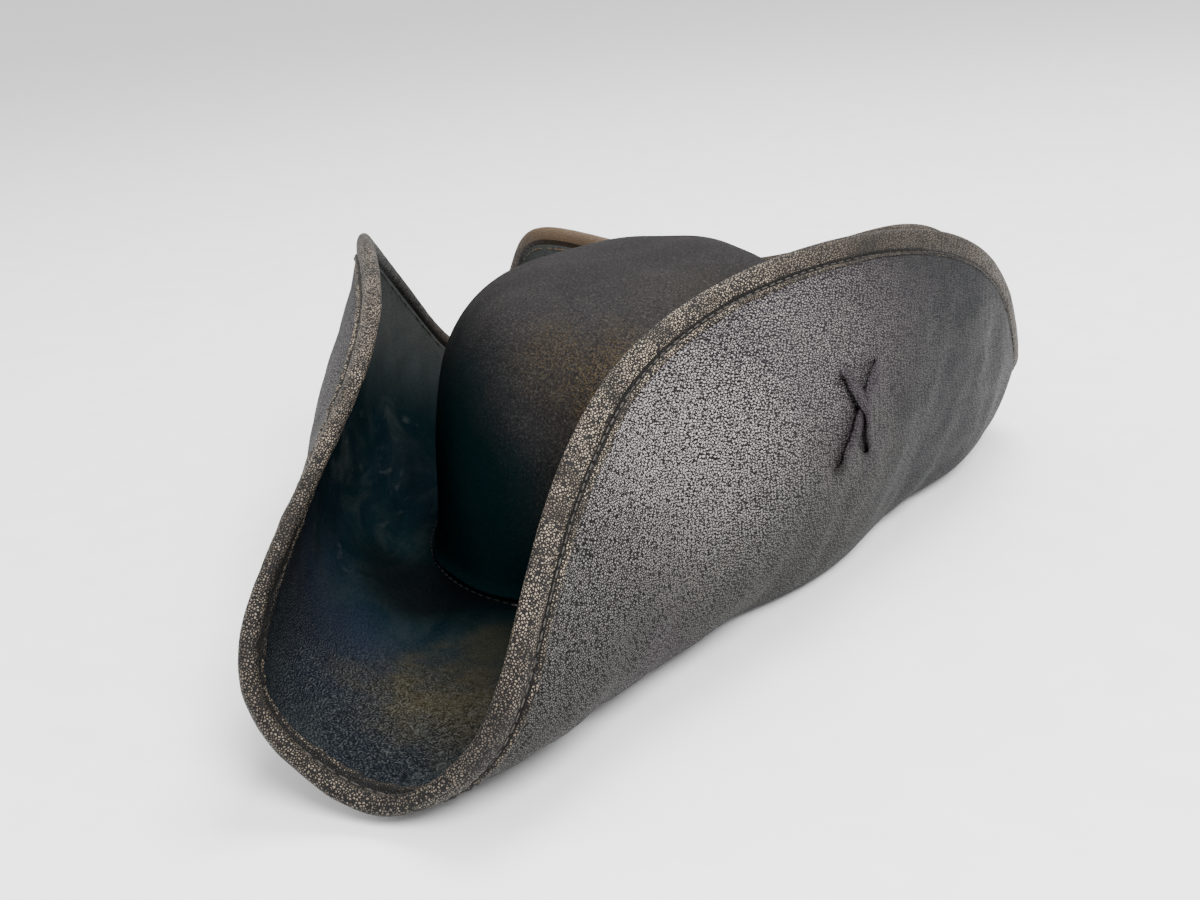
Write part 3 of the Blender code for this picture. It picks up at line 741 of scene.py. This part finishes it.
# the band's outer side, then its inner side: distance in from the rim and height above the middle (m)
HEM_OUTER = [
    (0.0000, 0.0000), (0.0002, 0.0010), (0.0007, 0.0018), (0.0015, 0.0024), (0.0027, 0.0028),
    (0.0042, 0.0030), (0.0058, 0.0029), (0.0071, 0.0026), (0.0080, 0.0022), (0.0087, 0.0017),
    (0.0093, 0.00145), (0.0097, 0.0017), (0.0100, 0.0022), (0.0103, 0.0027), (0.0108, 0.0030),
    (0.0114, 0.0029), (0.0119, 0.0026), (0.0121, 0.0023), (0.0119, 0.00205), (0.0105, 0.0020),
]
HEM_INNER = [
    (0.0002, 0.0010), (0.0007, 0.0018), (0.0015, 0.0024), (0.0027, 0.0028), (0.0041, 0.0029),
    (0.0055, 0.0028), (0.0068, 0.0025), (0.0078, 0.0021), (0.0086, 0.0016), (0.0094, 0.0013),
    (0.0106, 0.0012), (0.0118, 0.0014), (0.0125, 0.0020), (0.0130, 0.0028), (0.0138, 0.0033),
    (0.0147, 0.0034), (0.0156, 0.0032), (0.0162, 0.0027), (0.0163, 0.0023), (0.0158, 0.0020),
]
# spans of the band that get its painted-shade copy
HEM_SHADED = (0.0078, 0.0101), (0.0066, 0.0131)      # stitched groove, outer and inner side


def hem_piece(mat, groove_shade_mat):
    """Soft band folded round the rim, drawn in by a row of stitches, its raw lips standing up."""
    columns = np.arange(FINE)
    rim = PATHS[-1]
    arc = run_length(rim)
    puff = 1 + 0.07 * lumps(rim, 0.024, 11) + 0.03 * lumps(rim, 0.010, 12)
    wide = 1 + 0.03 * lumps(rim, 0.05, 13) + 0.015 * lumps(rim, 0.014, 14)
    pucker = 0.00016 * np.cos(2 * math.pi * arc / STITCH_PITCH)
    steps = [(d, h, 1) for d, h in HEM_OUTER] + [(d, h, -1) for d, h in HEM_INNER[::-1]]
    d, h, side = np.array(steps).T[..., None]
    groove = np.where(side > 0, STITCH_FROM_RIM, STITCH_FROM_RIM + 0.0012)
    from_front = np.minimum(PLACES, 2 - PLACES)
    open_lip = 1 - smooth_step(*LIP_LIES_FLAT, from_front)
    lip_width = np.where(side > 0, 0.25 + 0.75 * open_lip, 0.22 + 0.78 * open_lip)
    spread = np.minimum(d, groove) + np.maximum(d - groove, 0) * lip_width
    middle, normal = brim_grid(spread * np.where(d < 0.002, 1.0, wide), columns)
    half = h * np.where((d > 0.0006) & (d < groove - 0.0015), puff, 1.0)
    half = half * (1 + 0.30 * np.exp(-(from_front / 0.13) ** 2) * (side > 0) * (d < groove - 0.0015))
    half = np.where(d > groove + 0.0006, np.minimum(half, 0.0022 + 0.0013 * open_lip), half)
    half = half + np.exp(-((d - groove + 0.0012) / 0.0014) ** 2) * pucker
    raw = smooth_step(groove + 0.0010, groove + 0.0018, d) * smooth_step(0.0022, 0.0026, h)
    half = half + raw * (0.00028 * lumps(rim, 0.006, 15) + 0.00015 * lumps(rim, 0.0025, 16))
    loops = middle + normal * (half * side)[..., None]
    piece = add_ring("hem", loops.transpose(1, 0, 2), mat)
    piece.data.materials.append(groove_shade_mat)
    spans = [HEM_SHADED[0] if way > 0 else HEM_SHADED[1] for _, _, way in steps]
    inside = [low < row[0] < high for (low, high), row in zip(spans, steps)]
    shaded = np.array([a and b for a, b in zip(inside, inside[1:] + inside[:1])], np.int32)
    piece.data.polygons.foreach_set("material_index", np.tile(shaded, FINE))
    return settle(piece, "hem_binding", "hem_binding")


def hem_stitches(name, node, side, mat):
    """Row of single stitches in the band's groove."""
    rim = np.concatenate([PATHS[-1], PATHS[-1][:1]])
    arc = run_length(rim)
    count = int(round(arc[-1] / STITCH_PITCH))
    rng = np.random.default_rng(21)
    begin = (np.arange(count) + rng.uniform(-0.06, 0.06, count)) * arc[-1] / count
    ends = []
    for run in (begin, begin + 0.0031):
        place = np.interp(np.mod(run, arc[-1]), arc, np.append(PLACES, 2.0))
        middle, normal = brim_spot(place, np.full(count, STITCH_FROM_RIM + (0.0 if side > 0 else 0.0008)))
        ends.append(middle + normal * side * (0.00175 if side > 0 else 0.00158))
    piece = capsules(name, ends[0], ends[1], 0.00036, normal, mat)
    return settle(piece, "thread", node)


def face_spot(place, distance):
    """Points on the brim's outer face, with its sway, and the outward normals."""
    middle, normal = brim_spot(place, distance)
    return middle + normal * (BRIM_HALF + sheet_sway(middle, distance))[:, None], normal


def lace_piece(name, ends, bridge, mat):
    """Soft strip lying on the flap: its front edge stands off the cloth, its rear edge is snug."""
    (p0, d0), (p1, d1) = ends
    steps, sides, half, shift = 90, 26, 0.0046, 0.0030
    share = np.linspace(-0.05, 1.05, steps)
    place, dist = p0 + share * (p1 - p0), d0 + share * (d1 - d0)
    spots, _ = brim_spot(np.array([p0, p0 + 0.01]), np.array([d0, d0]))
    metres = np.linalg.norm(spots[1] - spots[0]) / 0.01
    run = np.array([(p1 - p0) * metres, d1 - d0])
    across = np.array([-run[1], run[0]]) / np.linalg.norm(run)
    front = 1.0 if (across[0] > 0) == (p0 > 1.0) else -1.0    # which edge faces the front
    line = np.stack([place * metres, dist, 0 * place], 1)
    close = np.exp(-((share + 0.03) / 0.10) ** 2) + np.exp(-((share - 1.03) / 0.10) ** 2)
    wide = half * (1 + 0.06 * lumps(line, 0.010, 31)) * (1 - 0.55 * np.minimum(close, 1))
    dive = 0.0030 * (np.exp(-((share + 0.05) / 0.045) ** 2) + np.exp(-((share - 1.05) / 0.045) ** 2))
    arch = bridge * np.exp(-((share - 0.5) / 0.17) ** 2)
    wrinkle = 0.00022 * lumps(line, 0.006, 32)
    loops = []
    for turn in 2 * math.pi * np.arange(sides) / sides:
        flat = math.copysign(abs(math.cos(turn)) ** 0.7, math.cos(turn))
        round_up = math.copysign(abs(math.sin(turn)) ** 0.8, math.sin(turn))
        aside = flat * wide - front * shift
        face, normal = face_spot(place + aside * across[0] / metres, dist + aside * across[1])
        lift = 0.0017 * smooth_step(-0.7, 1.0, flat * front) * (1 - 0.8 * np.minimum(close, 1))
        up = 0.0006 + 0.00085 * round_up + 0.0006 * (1 - flat ** 2) + lift + arch + wrinkle - dive
        loops.append(face + normal * up[:, None])
    points = np.stack(loops, 1)
    all_points = np.concatenate([points.reshape(-1, 3), [points[0].mean(0), points[-1].mean(0)]])
    quads, caps = tube_faces(steps, sides)
    mesh = bpy.data.meshes.new(name)
    mesh.from_pydata(all_points.tolist(), [], quads + caps)
    return settle(face_outward(link_piece(name + "_strip", mesh, mat)), "lacing", name)


# ---------------------------------------------------------------- crown pieces
def crown_point(inset, angle, climb):
    """Point of the crown's surface; climb runs from 0 at the foot to 1 at the top."""
    rise = np.sin(climb * np.pi / 2) ** (2 / CROWN_TOP_POWER)
    wide = np.cos(climb * np.pi / 2) ** (2 / CROWN_WALL_POWER) * (1 - CROWN_TAPER * rise)
    return np.stack([(HEAD_X - inset) * wide * np.cos(angle), (HEAD_Y - inset) * wide * np.sin(angle),
                     (CROWN_HEIGHT - inset) * rise + 0 * angle], -1)


def dome_rows(inset, foot, count):
    """Rows of the crown's surface from a height to just short of the top, even along the wall."""
    climb = np.linspace(0, 1, 2000)
    line = crown_point(inset, np.zeros(2000), climb)
    start = np.interp(foot, line[:, 2], climb)
    run = run_length(line)
    first = np.interp(start, climb, run)
    wanted = first + np.linspace(0, 0.992, count) * (run[-1] - first)
    return np.interp(wanted, run, climb)


def dome(name, outer, inner, foot, rows, mat, slot, node, shape):
    """Closed shell; shape(points, outward) moves the surface points."""
    angle = np.arange(CROWN_COLUMNS) * 2 * np.pi / CROWN_COLUMNS
    rings = []
    for inset, count, turn in ((outer, rows, -1), (inner, rows, 1)):
        side = [crown_point(inset, angle, c) for c in dome_rows(inset, foot, count)]
        rings += side[::turn]
    points = np.stack(rings)
    out = unit(points * [1 / HEAD_X ** 2, 1 / HEAD_Y ** 2, 0.6 / CROWN_HEIGHT ** 2])
    tops = np.array([[0, 0, CROWN_HEIGHT - outer], [0, 0, CROWN_HEIGHT - inner]])
    tops_out = np.array([[0, 0, 1.0], [0, 0, 1.0]])
    points = points + out * shape(points)[..., None]
    tops = tops + tops_out * shape(tops)[..., None]
    count = 2 * rows
    columns = CROWN_COLUMNS
    i, j = np.meshgrid(np.arange(count - 1), np.arange(columns), indexing="ij")
    k = (j + 1) % columns
    quads = np.stack([i * columns + j, (i + 1) * columns + j, (i + 1) * columns + k, i * columns + k], -1)
    quads = quads.reshape(-1, 4).tolist()
    last = (count - 1) * columns
    total = count * columns
    for j in range(columns):
        k = (j + 1) % columns
        quads.append((total, j, k))
        quads.append((total + 1, last + k, last + j))
    mesh = bpy.data.meshes.new(name)
    mesh.from_pydata((np.concatenate([points.reshape(-1, 3), tops]) + ORIGIN).tolist(), [], quads)
    return settle(face_outward(link_piece(name, mesh, mat)), slot, node)


def crown_sway(points):
    """Soft lumps, and a little flare where the crown meets the brim."""
    low = np.exp(-((points[..., 2] - BRIM_HALF) / 0.0035) ** 2) * 0.0016
    return 0.0011 * lumps(points, 0.11, 41) + 0.0005 * lumps(points, 0.04, 42) + low


def lining_sway(points):
    """Gathered folds that deepen towards the top."""
    angle = np.arctan2(points[..., 1] / HEAD_Y, points[..., 0] / HEAD_X)
    folds = np.cos(18 * angle + 1.5 * np.sin(3 * angle)) * smooth_step(0.02, 0.09, points[..., 2])
    return -0.0007 - 0.0007 * folds * smooth_step(0.02, 0.05, np.hypot(points[..., 0], points[..., 1]))


def head_ring(name, section, columns, mat, slot, node, wave=0.0):
    """Ring round the head opening; section is a list of (inset, z above the sheet's middle)."""
    angle = np.arange(columns) * 2 * np.pi / columns
    loops = []
    for inset, z in section:
        taper = 1 - CROWN_TAPER * max(z, 0.0) / CROWN_HEIGHT
        x, y = (HEAD_X * taper - inset) * np.cos(angle), (HEAD_Y * taper - inset) * np.sin(angle)
        height = z + (wave * lumps(np.stack([x, y, 0 * x], 1), 0.05, 51) if z > 0.01 else 0 * x)
        loops.append(np.stack([x, y, height], 1))
    return settle(add_ring(name, np.stack(loops, 1) + ORIGIN, mat), slot, node)


def head_stitches(name, node, inset, z, pitch, length, radius, mat, up=(0, 0, 1)):
    angle = np.linspace(0, 2 * math.pi, 4001)
    taper = 1 - CROWN_TAPER * max(z, 0.0) / CROWN_HEIGHT
    line = np.stack([(HEAD_X * taper - inset) * np.cos(angle), (HEAD_Y * taper - inset) * np.sin(angle),
                     z + 0 * angle], 1) + ORIGIN
    arc = run_length(line)
    count = int(arc[-1] / pitch)
    begin = np.arange(count) * arc[-1] / count
    ends = [np.stack([np.interp(np.mod(r, arc[-1]), arc, line[:, c]) for c in range(3)], 1)
            for r in (begin, begin + length)]
    piece = capsules(name, ends[0], ends[1], radius, np.tile(np.array(up, float), (count, 1)), mat)
    return settle(piece, "thread", node)


# ---------------------------------------------------------------- building
outer = outer_cloth("outer_cloth")
# the lacing gets the outer cloth with its painted highlights at 0.30 strength
strip = outer_cloth("lace_cloth", 0.30)
inner = inner_cloth("inner_cloth")
crown = crown_cloth("crown_cloth")
thread = plain_cloth("dark_thread", (0.006, 0.005, 0.004), (0.030, 0.025, 0.020), 900.0, 0.75)
pale_thread = seam_thread("seam_thread")
lining_mat = plain_cloth("lining_cloth", (0.012, 0.012, 0.014), (0.032, 0.032, 0.036), 1400.0, 0.55)
band_mat = plain_cloth("sweatband_leather", (0.020, 0.017, 0.015), (0.050, 0.043, 0.038), 500.0, 0.48, 0.5)
felt = plain_cloth("felt", (0.22, 0.21, 0.20), (0.36, 0.35, 0.33), 700.0, 0.95)

brim_outer, outer_area = brim_cover("brim_outer_cover", "brim_underside", 1, "brim_underside", outer,
                                    OUTER_LAST, lace_dents)
brim_inner, inner_area = brim_cover("brim_inner_cover", "brim_upper", -1, "brim_upper", inner, INNER_LAST)
# the band, and its painted-shade copy for the stitched groove
hem = hem_piece(hem_cloth("hem_cloth", 1.0), hem_cloth("hem_groove_shaded", 0.12))
outer_thread = hem_stitches("hem_thread_outer", "hem_stitch_outer", 1, thread)
inner_thread = hem_stitches("hem_thread_inner", "hem_stitch_inner", -1, thread)
for lace, ends in LACES.items():
    lace_piece(lace, ends, 0.0020 if lace.endswith("over") else 0.0, strip)

foot = BRIM_HALF + 0.0003
dome("crown", 0.0, COVER, foot, 110, crown, "crown_cover", "crown_cover", crown_sway)
dome("stiff_layer", COVER + 0.0002, 0.0027, foot, 60, felt, "crown_stiffener", "crown_stiffener", crown_sway)
dome("lining", 0.0034, 0.0040, foot, 60, lining_mat, "crown_lining", "crown_lining", lining_sway)
band_section = [(0.0046, -0.0012), (0.0045, 0.004), (0.0045, 0.031), (0.0047, 0.0319), (0.0051, 0.0323),
                (0.0056, 0.0319), (0.0058, 0.031), (0.0058, 0.004), (0.0058, -0.0006), (0.0054, -0.0013),
                (0.0049, -0.0015)]
head_ring("sweatband_strip", band_section, 300, band_mat, "sweatband", "sweatband", 0.0004)
head_stitches("sweatband_thread", "sweatband_stitch", 0.0058, 0.0022, 0.0050, 0.0036, 0.00032, pale_thread)
head_stitches("crown_seam_thread", "crown_seam_stitch", -0.0022, BRIM_HALF + 0.0004, 0.0046, 0.0029, 0.00048,
              pale_thread)

filling = brim_filling(felt)
rim_wire(metal("rim_wire"))


# ---------------------------------------------------------------- floor, light and camera
def floor():
    n = Nodes("floor")
    paper = n.noise(40.0, 2.0, 0.5)
    mat = n.done(n.mix(n.span(paper, 0.3, 0.7), (0.86, 0.86, 0.86), (0.89, 0.89, 0.89)), 0.9)
    half, drop = 60.0, 0.0003
    corners = [(-half, -half, -drop), (half, -half, -drop), (half, half, -drop), (-half, half, -drop)]
    mesh = bpy.data.meshes.new("floor")
    mesh.from_pydata(corners, [], [(0, 1, 2, 3)])
    mesh.materials.append(mat)
    plane = bpy.data.objects.new("floor", mesh)
    bpy.context.scene.collection.objects.link(plane)


def soft_light(name, spot, aim, size, power):
    data = bpy.data.lights.new(name, "AREA")
    data.shape, data.size, data.energy = "DISK", size, power
    lamp = bpy.data.objects.new(name, data)
    lamp.location = spot
    lamp.rotation_mode = "QUATERNION"
    lamp.rotation_quaternion = (Vector(aim) - Vector(spot)).to_track_quat("-Z", "Y")
    bpy.context.scene.collection.objects.link(lamp)


def pale_world():
    world = bpy.data.worlds.new("pale")
    world.use_nodes = True
    back = world.node_tree.nodes["Background"]
    back.inputs["Color"].default_value = (1.0, 1.0, 1.0, 1.0)
    back.inputs["Strength"].default_value = 1.25
    bpy.context.scene.world = world


def camera():
    """Looks down on the hat from its front left, a little rolled."""
    azimuth, elevation, roll = math.radians(20.54), math.radians(18.14), math.radians(-4.74)
    distance, yaw, pitch = 0.684, math.radians(-1.279), math.radians(-1.479)
    back = np.array([math.sin(azimuth) * math.cos(elevation), -math.cos(azimuth) * math.cos(elevation),
                     math.sin(elevation)])
    spot = ORIGIN + [0, 0, 0.05] + back * distance
    ahead = -back
    right = unit(np.cross(ahead, [0, 0, 1]))
    up = np.cross(right, ahead)
    turned = ahead * math.cos(yaw) + right * math.sin(yaw)
    side = unit(np.cross(turned, up))
    ahead = turned * math.cos(pitch) + up * math.sin(pitch)
    up = np.cross(side, ahead)
    right = side * math.cos(roll) + up * math.sin(roll)
    up = np.cross(right, ahead)
    data = bpy.data.cameras.new("camera")
    data.sensor_width, data.lens = 36.0, 1583.4 / 1200 * 36.0
    data.clip_start, data.clip_end = 0.01, 50.0
    cam = bpy.data.objects.new("camera", data)
    turn = Matrix(((right[0], up[0], -ahead[0]), (right[1], up[1], -ahead[1]), (right[2], up[2], -ahead[2])))
    cam.matrix_world = Matrix.Translation(Vector(spot)) @ turn.to_4x4()
    bpy.context.scene.collection.objects.link(cam)
    bpy.context.scene.camera = cam


floor()
pale_world()
soft_light("key", (0.9, -0.9, 1.3), (0.05, 0.0, 0.05), 0.8, 62.0)
soft_light("fill", (-1.2, -0.9, 0.9), (0.0, 0.0, 0.05), 1.2, 9.0)
soft_light("top", (0.2, 0.6, 1.6), (0.0, 0.0, 0.05), 0.9, 38.0)
camera()
